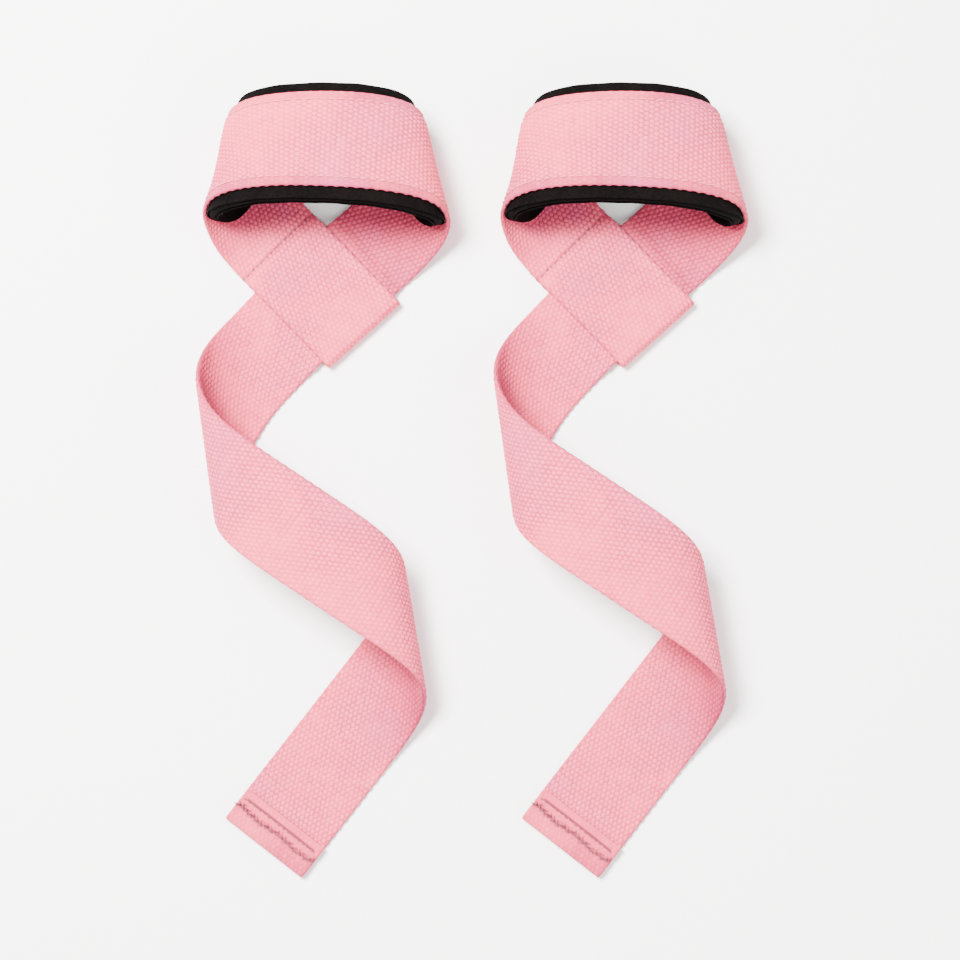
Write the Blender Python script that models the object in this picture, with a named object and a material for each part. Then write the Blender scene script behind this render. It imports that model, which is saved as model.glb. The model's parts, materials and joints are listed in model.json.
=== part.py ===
"""A pair of padded lifting straps, lying loosely coiled on a table.

Each strap is one long piece of cotton webbing. One end is folded under and sewn, which
makes a flat sleeve. The webbing goes once round the wrist, through its own sleeve, and on
as a free tail that makes one more loose turn and ends in a sewn hem. A neoprene pad is sewn
inside the wrist loop. Metres, +Z up, both straps rest on z = 0.
"""
import math
from dataclasses import dataclass, field

import bpy
import numpy as np

# ---------------------------------------------------------------- driving dimensions
WEB_WIDTH = 0.038          # 1.5 inch webbing
WEB_THICK = 0.0020
GAP = 0.0003               # clearance between touching pieces
LAYER = WEB_THICK + GAP    # pitch of webbing layers lying on each other
HALF = WEB_WIDTH / 2
EDGE_ROUND = 0.0006        # selvage rounding

STRAP_SPACING = 0.1167     # from one strap to the next
STRAP_TURN = math.radians(-2.0)

# the wrist loop lies on a cone whose apex is beyond the loop's upper edge
APEX_REACH = 0.129         # apex to the webbing's centreline at the front
LOOP_HALF_WIDTH = 0.042    # section of the cone at that reach
LOOP_HEIGHT = 0.039
LOOP_FLAT = 0.020          # half of the flat stretch on the table
LOOP_WIDEST = 0.46         # height of the widest place, as a share of the height
LOOP_DOME = 2.3            # superellipse power of the upper half
LIFT_LENGTH = 0.060        # the sewn layers settle to the table over this length
# the resting loop's departures from an exact cone
SIDE_PULL = 0.0022         # the left side sits in by this
SIDE_AT = (-0.049, 0.032)
SIDE_REACH = 0.024
RIM_FROM = 0.035           # the upper edge bows, from here on
RIM_LENGTH = 0.040
RIM_BOW = (0.0020, 0.030, -0.9)
SHOULDER = (0.0028, 0.0008)    # and spreads to the left and right,
SHOULDER_FADE = 0.034          # less and less towards its middle

# the sleeve
SEAM_OFFSET = 0.0070       # stitch line, beyond the tail's edge
FLAP_END = 0.0110          # raw end of the folded flap, beyond the tail's edge
RAMP = 0.0075              # length over which a layer steps up or down
FOLD_CLEAR = (0.0015, 0.0007)    # the fold's centre lies this far out of the tail's edge, and its slant

# the free tail
NECK_START = -0.0137       # where the tail's own node begins, from the sleeve's centre
TURN_1_AT = 0.0215         # first ruling of the left turn, on the centreline
TURN_1_LEAN = math.radians(-33.9)
TURN_ARC = 0.088           # webbing used by each turn
NECK_DROP = (0.001, 0.012) # off the flap and down to the table: start past the cover, length
TURN_2_AT = 0.1256
TURN_2_LEAN = math.radians(-35.7)
TAIL_LENGTH = 0.3149       # from the sleeve's centre to the hem's folded end
HEM_LENGTH = 0.0128        # webbing folded back on top at the end
# slight sideways set of the webbing: (start, length, turn)
SABRE = (
    (-0.012, 0.016, math.radians(2.65)),
    (0.004, 0.030, math.radians(1.2)),
    (0.030, 0.040, math.radians(13.0)),
    (0.060, 0.060, math.radians(-9.25)),
    (0.150, 0.060, math.radians(-0.9)),
)

# the pad: jersey, foam, jersey
PAD_WIDTH = 0.0475
PAD_START = -0.0775         # from the front's centre, along the strap
PAD_END = 0.0735
PAD_CORNERS = ((0.040, 0.0225), (0.036, 0.0210))   # length and depth
PAD_CLEAR = 0.0004         # from the webbing
JERSEY = 0.0005
FOAM = 0.0034

# sewing thread
THREAD_WIDTH = 0.0007
THREAD_LOW = 0.00025       # thread thickness where it dives into the cloth
THREAD_HIGH = 0.00060      # thread thickness in the middle of a stitch
STITCH = 0.0040            # stitch length
PAD_ROW = (-0.072, 0.070)  # both rows that sew the pad on run between these
PAD_STITCH_INSET = 0.0035  # from the webbing's edge
CROSS_STITCH_INSET = 0.0030
HEM_STITCHES = (0.0073, 0.0112)   # from the folded end

# how finely the bends are cut
RULED_ANGLE = math.radians(30)    # the wrist band is cut along its rulings, to each side
RULED_CUTS = 67
SWING_CUTS = 9             # from the last ruling to a square cut
RAMP_CUTS = 7
BAND_COLUMNS = 4
NECK_COLUMNS = 6
FLEX_CUTS = 17             # each quarter turn of the tail
PAD_CUTS = 38

KNUCKLE = WEB_THICK / 2    # the webbing's half-round ends at a flex line
CAP_ROWS = 6               # facets through the thickness there

COLOURS = {
    "webbing": ((0.84, 0.50, 0.56, 1.0), 0.85),
    "thread": ((0.80, 0.45, 0.52, 1.0), 0.70),
    "foam": ((0.012, 0.012, 0.013, 1.0), 0.90),
    "jersey": ((0.008, 0.008, 0.009, 1.0), 0.80),
}


def smooth(x):
    """Step from 0 to 1 with zero slope and curvature at both ends."""
    x = np.clip(x, 0.0, 1.0)
    return x * x * x * (x * (6 * x - 15) + 10)


def unit(v):
    return v / np.linalg.norm(v, axis=-1)[..., None]


# ---------------------------------------------------------------- wrist loop: a strip on a cone
class WristCone:
    """Straight webbing wrapped once round a cone, which crosses itself on the table."""

    def __init__(self, steps=900):
        widest = LOOP_WIDEST * LOOP_HEIGHT
        t = np.linspace(0, math.pi / 2, steps)
        flat = np.stack([np.linspace(0, LOOP_FLAT, steps), np.zeros(steps)], 1)
        low = np.stack(
            [LOOP_FLAT + (LOOP_HALF_WIDTH - LOOP_FLAT) * np.sin(t), widest * (1 - np.cos(t))], 1
        )
        power = 2 / LOOP_DOME
        high = np.stack(
            [
                LOOP_HALF_WIDTH * np.cos(t) ** power,
                widest + (LOOP_HEIGHT - widest) * np.sin(t) ** power,
            ],
            1,
        )
        half = np.vstack([flat, low[1:], high[1:]])
        section = np.vstack([half, (half * [-1, 1])[::-1][1:]]) / APEX_REACH
        rays = np.column_stack([-section[:, 0], -np.ones(len(section)), section[:, 1]])
        self.rays = unit(rays)
        steps_between = 2 * np.arcsin(np.linalg.norm(np.diff(self.rays, axis=0), axis=1) / 2)
        angle = np.concatenate([[0], np.cumsum(steps_between)])
        self.half_angle = angle[-1] / 2
        self.angle = angle - self.half_angle
        self.crossing = APEX_REACH * math.tan(self.half_angle)
        self.apex_y = APEX_REACH / math.cos(self.half_angle)

    def ray(self, angle):
        return unit(np.stack([np.interp(angle, self.angle, c) for c in self.rays.T], -1))

    def place(self, s, w, h):
        """Point of the strip: s from the front, w towards the apex, h inwards."""
        reach = np.hypot(s, APEX_REACH - w)
        wanted = np.arctan2(s, APEX_REACH - w)
        angle = np.clip(wanted, -self.half_angle, self.half_angle)
        small = self.half_angle * 1e-3
        ray = self.ray(angle)
        along = self.ray(angle + small) - self.ray(angle - small)
        along = unit(along - (along * ray).sum(-1)[..., None] * ray)
        inward = np.cross(along, ray)
        beyond = wanted - angle
        turned = ray * np.cos(beyond)[..., None] + along * np.sin(beyond)[..., None]
        return turned * reach[..., None] + inward * h[..., None]

    def __call__(self, s, w, h):
        s, w, h = np.broadcast_arrays(*(np.asarray(v, float) for v in (s, w, h)))
        point = self.place(s, w, h) + [0, self.apex_y, WEB_THICK / 2]
        point[..., 2] += self.lift(s)
        return self.settle(point, s)

    def settle(self, point, s):
        """Adds the resting loop's departures from the exact cone."""
        x, y = point[..., 0].copy(), point[..., 1].copy()
        off_sleeve = smooth((s + self.crossing - HALF - FLAP_END) / LIFT_LENGTH * 2)
        from_side = ((x - SIDE_AT[0]) ** 2 + (y - SIDE_AT[1]) ** 2) / SIDE_REACH**2
        point[..., 0] += SIDE_PULL * np.exp(-from_side) * off_sleeve
        bow = RIM_BOW[0] + RIM_BOW[1] * x + RIM_BOW[2] * x**2
        upper = smooth((y - RIM_FROM) / RIM_LENGTH)
        point[..., 1] += bow * upper
        left, right = SHOULDER
        point[..., 0] += upper * (right * smooth(x / SHOULDER_FADE) - left * smooth(-x / SHOULDER_FADE))
        return point

    def lift(self, s):
        """Height of the lower layers that each run lies on."""
        from_sleeve = s + self.crossing
        left = LAYER * (1 - smooth((from_sleeve - HALF - FLAP_END) / LIFT_LENGTH))
        to_sleeve = s - self.crossing
        right = LAYER * smooth((to_sleeve + HALF + GAP + RAMP) / RAMP)
        return np.where(s < 0, left, right)

    def ruling(self, angle, half_width=HALF):
        """Strip positions of the ruling at an angle, from the lower to the upper edge."""
        return tuple((APEX_REACH - w) * math.tan(angle) for w in (-half_width, 0, half_width))


# ---------------------------------------------------------------- tail: a strip folded over rulings
@dataclass
class Turn:
    """A half turn about slanted rulings, with smooth curvature."""

    at: float
    lean: float
    arc: float
    q: np.ndarray = field(init=False)

    def __post_init__(self):
        steps = 1200
        self.q = np.linspace(0, self.arc, steps)
        self.theta = math.pi * smooth(self.q / self.arc)
        step = self.q[1]
        cos, sin = np.cos(self.theta), np.sin(self.theta)
        self.run = np.concatenate([[0], np.cumsum((cos[1:] + cos[:-1]) / 2 * step)])
        self.rise = np.concatenate([[0], np.cumsum((sin[1:] + sin[:-1]) / 2 * step)])
        self.along = np.array([-math.sin(self.lean), math.cos(self.lean)])
        self.across = np.array([math.cos(self.lean), math.sin(self.lean)])

    def split(self, x, y):
        """Distance past the first ruling, and distance along the ruling."""
        dx = x - self.at
        return dx * self.across[0] + y * self.across[1], dx * self.along[0] + y * self.along[1]

    def place(self, x, y, h):
        q, r = self.split(x, y)
        inside = np.clip(q, 0, self.arc)
        theta = np.interp(inside, self.q, self.theta)
        over = np.maximum(q - self.arc, 0)
        run = np.interp(inside, self.q, self.run) + over * np.cos(theta) - h * np.sin(theta)
        rise = np.interp(inside, self.q, self.rise) + over * np.sin(theta) + h * np.cos(theta)
        run = np.where(q < 0, q, run)
        return np.stack(
            [
                self.at + r * self.along[0] + run * self.across[0],
                r * self.along[1] + run * self.across[1],
                rise,
            ],
            -1,
        )

    def frame_after(self):
        """Affine map from the flat strip past the turn to the frame before it."""
        base = np.array([self.at, 0, 0]) + np.append(self.across * self.arc * 2, 0)
        step = self.arc / 10
        corners = base + step * np.vstack([np.zeros(3), np.eye(3)])
        placed = self.place(corners[:, 0], corners[:, 1], corners[:, 2])
        turn = (placed[1:] - placed[0]).T / step
        return turn, placed[0] - turn @ base


class Tail:
    """The strip from the sleeve's centre on: two half turns, over and back to the table."""

    def __init__(self, heading):
        self.turns = (
            Turn(TURN_1_AT, TURN_1_LEAN, TURN_ARC),
            Turn(TURN_2_AT, TURN_2_LEAN, TURN_ARC),
        )
        along = np.array([math.cos(heading), math.sin(heading), 0])
        left = np.array([-along[1], along[0], 0])
        frame = (np.column_stack([along, left, [0, 0, 1]]), np.array([0, 0, WEB_THICK / 2]))
        self.frames = [frame]
        for turn in self.turns:
            rot, shift = turn.frame_after()
            frame = (frame[0] @ rot, frame[0] @ shift + frame[1])
            self.frames.append(frame)
        self.set_line()

    def set_line(self, steps=1600):
        """The flat centreline, with the webbing's slight sideways set."""
        s = np.linspace(-0.05, TAIL_LENGTH + 0.05, steps)
        turn = sum(angle * smooth((s - start) / length) for start, length, angle in SABRE)
        step = s[1] - s[0]
        cos, sin = np.cos(turn), np.sin(turn)
        x = np.concatenate([[0], np.cumsum((cos[1:] + cos[:-1]) / 2 * step)])
        y = np.concatenate([[0], np.cumsum((sin[1:] + sin[:-1]) / 2 * step)])
        self.line = (s, x - np.interp(0, s, x), y - np.interp(0, s, y), turn)

    def flat(self, s, w):
        x, y, turn = (np.interp(s, self.line[0], v) for v in self.line[1:])
        return x - w * np.sin(turn), y + w * np.cos(turn)

    def __call__(self, s, w, h):
        s, w, h = np.broadcast_arrays(*(np.asarray(v, float) for v in (s, w, h)))
        x, y = self.flat(s, w)
        passed = np.zeros(s.shape, int)
        for number, turn in enumerate(self.turns):
            passed = np.where(turn.split(x, y)[0] > turn.arc, number + 1, passed)
        point = np.zeros(s.shape + (3,))
        for number, (rot, shift) in enumerate(self.frames):
            mine = passed == number
            if number < len(self.turns):
                local = self.turns[number].place(x[mine], y[mine], h[mine])
            else:
                local = np.stack([x[mine], y[mine], h[mine]], -1)
            point[mine] = local @ rot.T + shift
        point[..., 2] += LAYER * (1 - smooth((s - HALF - NECK_DROP[0]) / NECK_DROP[1]))
        return point

    def ruling(self, number, q, half_width=HALF):
        """Strip positions of a turn's ruling, at one edge, the centreline and the other edge."""
        turn = self.turns[number]
        found = []
        for w in (-half_width, 0, half_width):
            s = turn.at + q
            for _ in range(30):
                x, y = self.flat(s, w)
                s += (q - turn.split(x, y)[0]) / turn.across[0]
            found.append(s)
        return tuple(found)

    def middle(self, number):
        """Arc position where the turn stands upright."""
        turn = self.turns[number]
        return float(np.interp(math.pi / 2, turn.theta, turn.q))

    def slant(self, number):
        """How far one goes from a turn's rulings for each step along the webbing there."""
        s = self.ruling(number, self.middle(number))[1]
        return math.cos(float(np.interp(s, self.line[0], self.line[3])) - self.turns[number].lean)

    def axis(self, number):
        """A point and the direction of the ruling at the middle of a turn."""
        low, _, high = self.ruling(number, self.middle(number))
        a, b = self(low, -HALF, 0.0), self(high, HALF, 0.0)
        return (a + b) / 2, unit(b - a)


# ---------------------------------------------------------------- solids
def lattice_solid(name, material, points):
    """A closed mesh from the outside of a grid of points, shape (along, across, through, 3)."""
    n, m, k = points.shape[:3]
    index = {}
    verts, faces = [], []

    def vertex(i, j, l):
        key = (i, j, l)
        if key not in index:
            index[key] = len(verts)
            verts.append(points[i, j, l])
        return index[key]

    def quad(a, b, c, d):
        faces.append([vertex(*a), vertex(*b), vertex(*c), vertex(*d)])

    for i in range(n - 1):
        for j in range(m - 1):
            quad((i, j, 0), (i, j + 1, 0), (i + 1, j + 1, 0), (i + 1, j, 0))
            quad((i, j, k - 1), (i + 1, j, k - 1), (i + 1, j + 1, k - 1), (i, j + 1, k - 1))
    for i in range(n - 1):
        for l in range(k - 1):
            quad((i, 0, l), (i + 1, 0, l), (i + 1, 0, l + 1), (i, 0, l + 1))
            quad((i, m - 1, l), (i, m - 1, l + 1), (i + 1, m - 1, l + 1), (i + 1, m - 1, l))
    for j in range(m - 1):
        for l in range(k - 1):
            quad((0, j, l), (0, j, l + 1), (0, j + 1, l + 1), (0, j + 1, l))
            quad((n - 1, j, l), (n - 1, j + 1, l), (n - 1, j + 1, l + 1), (n - 1, j, l + 1))
    corners = np.array(verts)[np.array(faces)]
    diagonals = corners[:, 2] - corners[:, 0], corners[:, 3] - corners[:, 1]
    if (np.cross(*diagonals) * (corners.mean(1) - corners.mean((0, 1)))).sum() < 0:
        faces = [face[::-1] for face in faces]
    mesh = bpy.data.meshes.new(name)
    mesh.from_pydata([tuple(v) for v in verts], [], faces)
    mesh.update()
    mesh.materials.append(material)
    mesh.shade_smooth()
    mesh.set_sharp_from_angle(angle=math.radians(35))
    thing = bpy.data.objects.new(name, mesh)
    bpy.context.collection.objects.link(thing)
    return thing


def plain(h):
    """A cut end, square through the thickness."""
    return np.zeros_like(h)


def nose(slant):
    """A half-round end that stands past a slanted flex line."""
    return lambda h: np.sqrt(np.maximum(KNUCKLE**2 - h**2, 0)) / slant


def socket(slant):
    """A hollow end that takes the half-round one."""
    return lambda h: np.sqrt((KNUCKLE + GAP) ** 2 - h**2) / slant


def band_points(
    shape, stations, half_width, inner, outer, start=plain, end=plain, rows=2, columns=2, rounding=0.0
):
    """Grid of a flat band between two heights. A station holds s at an edge, middle and edge."""
    stations = np.asarray(stations, float)
    heights = np.linspace(inner, outer, rows + 1)
    middle, depth = (inner + outer) / 2, (outer - inner) / 2
    inset = rounding * (1 - np.sqrt(np.maximum(1 - ((heights - middle) / depth) ** 2, 0)))
    across = np.linspace(-1, 1, columns + 1)
    s = np.array([np.interp(across, (-1, 0, 1), station) for station in stations])
    s = np.repeat(s[:, :, None], len(heights), 2)
    relative = heights - middle
    s[0] += start(relative)[None, :]
    s[-1] += end(relative)[None, :]
    w = across[None, :, None] * (np.reshape(half_width, (-1, 1, 1)) - inset[None, None, :])
    w = np.broadcast_to(w, s.shape)
    h = np.broadcast_to(heights[None, None, :], s.shape)
    return shape(s, w, h)


def corner_drop(into, corner):
    """How much an elliptical corner takes off a side, at a distance in from the end."""
    length, depth = corner
    share = 1 - np.minimum(into, length) / length
    return depth * (1 - np.sqrt(np.maximum(1 - share**2, 0)))


def cuts(start, end, count):
    """Square cuts across the webbing."""
    return [(s, s, s) for s in np.linspace(start, end, count)]


def between(first, last, count):
    """Stations that swing from one line to another."""
    share = np.linspace(0, 1, count)[:, None]
    return (np.array(first) * (1 - share) + np.array(last) * share).tolist()


# ---------------------------------------------------------------- one strap
class Strap:
    def __init__(self, prefix, offset, materials):
        self.prefix = prefix
        self.materials = materials
        self.cone = WristCone()
        self.tail = Tail(math.pi + self.cone.half_angle)
        cos, sin = math.cos(STRAP_TURN), math.sin(STRAP_TURN)
        self.turn = np.array([[cos, -sin, 0], [sin, cos, 0], [0, 0, 1]])
        self.offset = np.array([offset, 0, 0])
        self.bodies = {"loop": [], "tail_neck": [], "tail_front": [], "tail_end": []}

    def world(self, points):
        return points @ self.turn.T + self.offset

    def add(self, body, name, material, points):
        thing = lattice_solid(
            f"{self.prefix}_{name}", self.materials[material], self.world(points)
        )
        self.bodies[body].append(thing)

    # the sleeve, drawn in the upright plane along the run that makes it
    def sleeve_path(self, along, lift, w, h):
        """Point at a distance up the left run and a height, with a normal offset added before."""
        heading = math.pi - self.cone.half_angle
        forward = np.array([math.cos(heading), math.sin(heading), 0])
        side = np.array([-forward[1], forward[0], 0])
        return (
            along[..., None] * forward + w[..., None] * side + (lift + h)[..., None] * [0, 0, 1]
        )

    def build_sleeve(self):
        """Flap under the tail, tight fold at its edge, and the cover back over it to the seam."""
        far = HALF + FLAP_END
        fold_x = -(HALF + FOLD_CLEAR[0])
        low = WEB_THICK / 2
        path = [(x, low, 0.0) for x in np.linspace(far, fold_x, 6)]
        for angle in np.linspace(0, math.pi, 13)[1:]:
            x = fold_x - LAYER * math.sin(angle)
            path.append((x, low + LAYER * (1 - math.cos(angle)), angle))
        top = low + 2 * LAYER
        step = HALF + GAP
        path += [(x, top, math.pi) for x in np.linspace(fold_x, step, 5)[1:]]
        for x in np.linspace(step, step + RAMP, 9)[1:]:
            share = (x - step) / RAMP
            slope = LAYER / RAMP * 30 * share**2 * (1 - share) ** 2
            path.append((x, top - LAYER * float(smooth(share)), math.pi - math.atan(slope)))
        path.append((far, top - LAYER, math.pi))
        x, z, angle = (np.array(v)[:, None, None] for v in zip(*path))
        across = np.array([-1.0, 0.0, 1.0])[None, :, None]
        height = np.array([-1.0, 0.0, 1.0])[None, None, :] * WEB_THICK / 2
        inset = EDGE_ROUND * (np.abs(height) > 0)
        w = across * (HALF - inset) + 0 * x
        slant = FOLD_CLEAR[1] * across * np.clip((far - x) / (far - fold_x), 0, 1)
        along = x + height * np.sin(angle) - slant
        lift = z + height * np.cos(angle) + 0 * across
        points = self.sleeve_path(along, lift, w, np.zeros_like(w))
        self.add("loop", "sleeve", "webbing", points)

    def build_wrist_band(self):
        cone = self.cone
        start = -cone.crossing + HALF + FLAP_END + GAP
        end = cone.crossing + NECK_START - GAP
        ruled = [cone.ruling(a) for a in np.linspace(-RULED_ANGLE, RULED_ANGLE, RULED_CUTS)]
        ramp = cone.crossing - HALF - GAP - RAMP
        stations = between((start,) * 3, ruled[0], SWING_CUTS)[:-1] + ruled
        stations += between(ruled[-1], (ramp,) * 3, SWING_CUTS)[1:]
        stations += cuts(ramp, ramp + RAMP, RAMP_CUTS)[1:]
        stations += cuts(ramp + RAMP, end, 2)[1:]
        thick = WEB_THICK / 2
        points = band_points(
            cone, stations, HALF, -thick, thick, columns=BAND_COLUMNS, rounding=EDGE_ROUND
        )
        self.add("loop", "wrist_band", "webbing", points)

    def build_pad(self):
        """Three bonded layers under the wrist band, with rounded corners."""
        first, last = PAD_CORNERS
        arc = (1 - np.cos(np.linspace(0.2, math.pi / 2, 8)))[:-1]
        inner = np.linspace(PAD_START + first[0], PAD_END - last[0], PAD_CUTS)
        s = np.concatenate([PAD_START + first[0] * arc, inner, PAD_END - last[0] * arc[::-1]])
        wide = PAD_WIDTH / 2 - corner_drop(s - PAD_START, first) - corner_drop(PAD_END - s, last)
        level = WEB_THICK / 2 + PAD_CLEAR
        layers = (
            ("pad_backing", "jersey", JERSEY),
            ("pad_foam", "foam", FOAM),
            ("pad_lining", "jersey", JERSEY),
        )
        stations = [(x, x, x) for x in s]
        for name, material, thick in layers:
            points = band_points(self.cone, stations, wide, level, level + thick, columns=6)
            self.add("loop", name, material, points)
            level += thick + GAP
        self.pad_face = level - GAP

    def build_tail(self):
        tail = self.tail
        thick = WEB_THICK / 2
        flex = [tail.middle(number) for number in (0, 1)]
        slant = [tail.slant(number) for number in (0, 1)]
        arcs = [turn.arc for turn in tail.turns]
        band = dict(half_width=HALF, inner=-thick, outer=thick, rounding=EDGE_ROUND, rows=CAP_ROWS)

        first = tail.ruling(0, 0.0)
        stations = between((NECK_START,) * 3, first, SWING_CUTS)[:-1]
        stations += [tail.ruling(0, q) for q in np.linspace(0, flex[0], FLEX_CUTS)]
        points = band_points(tail, stations, end=nose(slant[0]), columns=NECK_COLUMNS, **band)
        self.add("tail_neck", "tail_neck", "webbing", points)

        stations = [tail.ruling(0, q) for q in np.linspace(flex[0], arcs[0], FLEX_CUTS)[:-1]]
        stations += [tail.ruling(1, q) for q in np.linspace(0, flex[1], FLEX_CUTS)[1:]]
        points = band_points(tail, stations, start=socket(slant[0]), end=nose(slant[1]), **band)
        self.add("tail_front", "tail_front", "webbing", points)

        stations = [tail.ruling(1, q) for q in np.linspace(flex[1], arcs[1], FLEX_CUTS)]
        last = TAIL_LENGTH - LAYER / 2 - WEB_THICK / 2
        stations += between(stations[-1], (last,) * 3, 8)[1:]
        points = band_points(tail, stations, start=socket(slant[1]), **band)
        hem = self.hem_points(last, CAP_ROWS)
        self.add("tail_end", "tail_end", "webbing", np.concatenate([points, hem]))

    def hem_points(self, last, rows):
        """The end of the webbing folded back on top of itself."""
        radius = LAYER / 2
        path = [
            (last + radius * math.sin(a), radius * (1 - math.cos(a)), a)
            for a in np.linspace(0, math.pi, 9)[1:]
        ]
        path += [(x, LAYER, math.pi) for x in np.linspace(last, last - HEM_LENGTH, 4)[1:]]
        x, z, angle = (np.array(v)[:, None, None] for v in zip(*path))
        across = np.array([-1.0, 0.0, 1.0])[None, :, None]
        height = np.linspace(-1, 1, rows + 1)[None, None, :] * WEB_THICK / 2
        inset = EDGE_ROUND * (1 - np.sqrt(np.maximum(1 - (height / (WEB_THICK / 2)) ** 2, 0)))
        w = across * (HALF - inset) + 0 * x
        s = x - height * np.sin(angle) + 0 * across
        h = z + height * np.cos(angle) + 0 * across
        return self.tail(s, w, h)

    # sewing
    def thread_along(self, name, start, end, w, level, outward):
        """A row of stitches along the wrist band, on one of its faces."""
        count = 2 * round((end - start) / STITCH) + 1
        s = np.linspace(start, end, count)
        crest = np.where(np.arange(count) % 2 == 1, THREAD_HIGH, THREAD_LOW)
        across = np.array([-0.5, 0.5]) * THREAD_WIDTH + w
        base = level + outward * GAP
        near = np.full(count, base)[:, None]
        far = base + outward * crest[:, None] * np.ones(2)
        grid_s = np.broadcast_to(s[:, None], far.shape)
        grid_w = np.broadcast_to(across, far.shape)
        points = np.stack([self.cone(grid_s, grid_w, h) for h in (near + 0 * far, far)], 2)
        self.add("loop", name, "thread", points)

    def thread_across(self, body, name, place, reach):
        """A row of stitches straight across the webbing, on its upper face."""
        count = 2 * round(2 * reach / STITCH) + 1
        w = np.linspace(-reach, reach, count)
        crest = np.where(np.arange(count) % 2 == 1, THREAD_HIGH, THREAD_LOW)
        offset = np.array([0.5, -0.5]) * THREAD_WIDTH
        rise = crest[:, None] * np.ones(2)
        grid_w = np.broadcast_to(w[:, None], rise.shape)
        grid_s = np.broadcast_to(offset, rise.shape)
        points = np.stack([place(grid_s, grid_w, 0 * rise), place(grid_s, grid_w, rise)], 2)
        self.add(body, name, "thread", points)

    def build_threads(self):
        row = HALF - PAD_STITCH_INSET
        start, end = PAD_ROW
        for side, w in (("upper", row), ("lower", -row)):
            self.thread_along(f"pad_stitch_{side}", start, end, w, -WEB_THICK / 2, -1)
            self.thread_along(f"pad_bobbin_{side}", start, end, w, self.pad_face, 1)
        across = HALF - CROSS_STITCH_INSET
        seam_level = WEB_THICK * 2 + GAP * 2 + self.seam_rise()

        def on_sleeve(s, w, h):
            along = HALF + SEAM_OFFSET + s
            return self.sleeve_path(along, np.full_like(s, seam_level), w, h)

        self.thread_across("loop", "sleeve_stitch", on_sleeve, across)
        for number, distance in enumerate(HEM_STITCHES):
            centre = TAIL_LENGTH - distance
            level = LAYER + WEB_THICK / 2 + GAP

            def on_hem(s, w, h, centre=centre, level=level):
                return self.tail(centre + s, w, level + h)

            self.thread_across("tail_end", f"hem_stitch_{number + 1}", on_hem, across)

    def seam_rise(self):
        """What is left of the cover's step down at the seam."""
        share = (SEAM_OFFSET - THREAD_WIDTH / 2 - GAP) / RAMP
        return LAYER * (1 - float(smooth(share)))

    def build(self):
        self.build_sleeve()
        self.build_wrist_band()
        self.build_pad()
        self.build_tail()
        self.build_threads()

    # joints
    def hinge_frame(self, number):
        point, direction = self.tail.axis(number)
        return self.world(point), direction @ self.turn.T

    def make_joints(self, shift):
        """Empties on the joint axes, each the parent of what it moves."""
        places = {
            "tail_neck": self.world(np.array([0, 0, LAYER + WEB_THICK / 2])),
            "tail_front": self.hinge_frame(0)[0],
            "tail_end": self.hinge_frame(1)[0],
        }
        parent = None
        for body, place in places.items():
            empty = bpy.data.objects.new(f"{self.prefix}_{body}_joint", None)
            bpy.context.collection.objects.link(empty)
            here = np.array(place) + shift
            empty.parent = parent
            above = parent["place"] if parent else (0, 0, 0)
            empty.location = here - np.array(above)
            empty["place"] = [float(v) for v in here]
            for thing in self.bodies[body]:
                thing.parent = empty
                thing.location = -here
            parent = empty


# ---------------------------------------------------------------- scene
def clear_scene():
    for thing in list(bpy.data.objects):
        bpy.data.objects.remove(thing, do_unlink=True)


def make_materials():
    made = {}
    for name, (colour, roughness) in COLOURS.items():
        material = bpy.data.materials.new(name)
        material.use_nodes = True
        shader = material.node_tree.nodes["Principled BSDF"]
        shader.inputs["Base Color"].default_value = colour
        shader.inputs["Roughness"].default_value = roughness
        shader.inputs["Metallic"].default_value = 0.0
        made[name] = material
    return made


def shift_to_origin(things):
    """Move every mesh so that the pair's box stands centred on the origin."""
    clouds = []
    for thing in things:
        cloud = np.empty(len(thing.data.vertices) * 3)
        thing.data.vertices.foreach_get("co", cloud)
        clouds.append(cloud.reshape(-1, 3))
    everything = np.vstack(clouds)
    low, high = everything.min(0), everything.max(0)
    shift = -np.array([(low[0] + high[0]) / 2, (low[1] + high[1]) / 2, low[2]])
    for thing, cloud in zip(things, clouds):
        thing.data.vertices.foreach_set("co", (cloud + shift).ravel())
        thing.data.update()
    return shift


def main():
    clear_scene()
    materials = make_materials()
    straps = [
        Strap("left", -STRAP_SPACING / 2, materials),
        Strap("right", STRAP_SPACING / 2, materials),
    ]
    for strap in straps:
        strap.build()
    shift = shift_to_origin([t for s in straps for b in s.bodies.values() for t in b])
    for strap in straps:
        strap.make_joints(shift)
    return straps, shift


if __name__ == "__main__":
    main()
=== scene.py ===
"""A pair of padded lifting straps on a pale table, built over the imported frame."""

import json
import math

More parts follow.
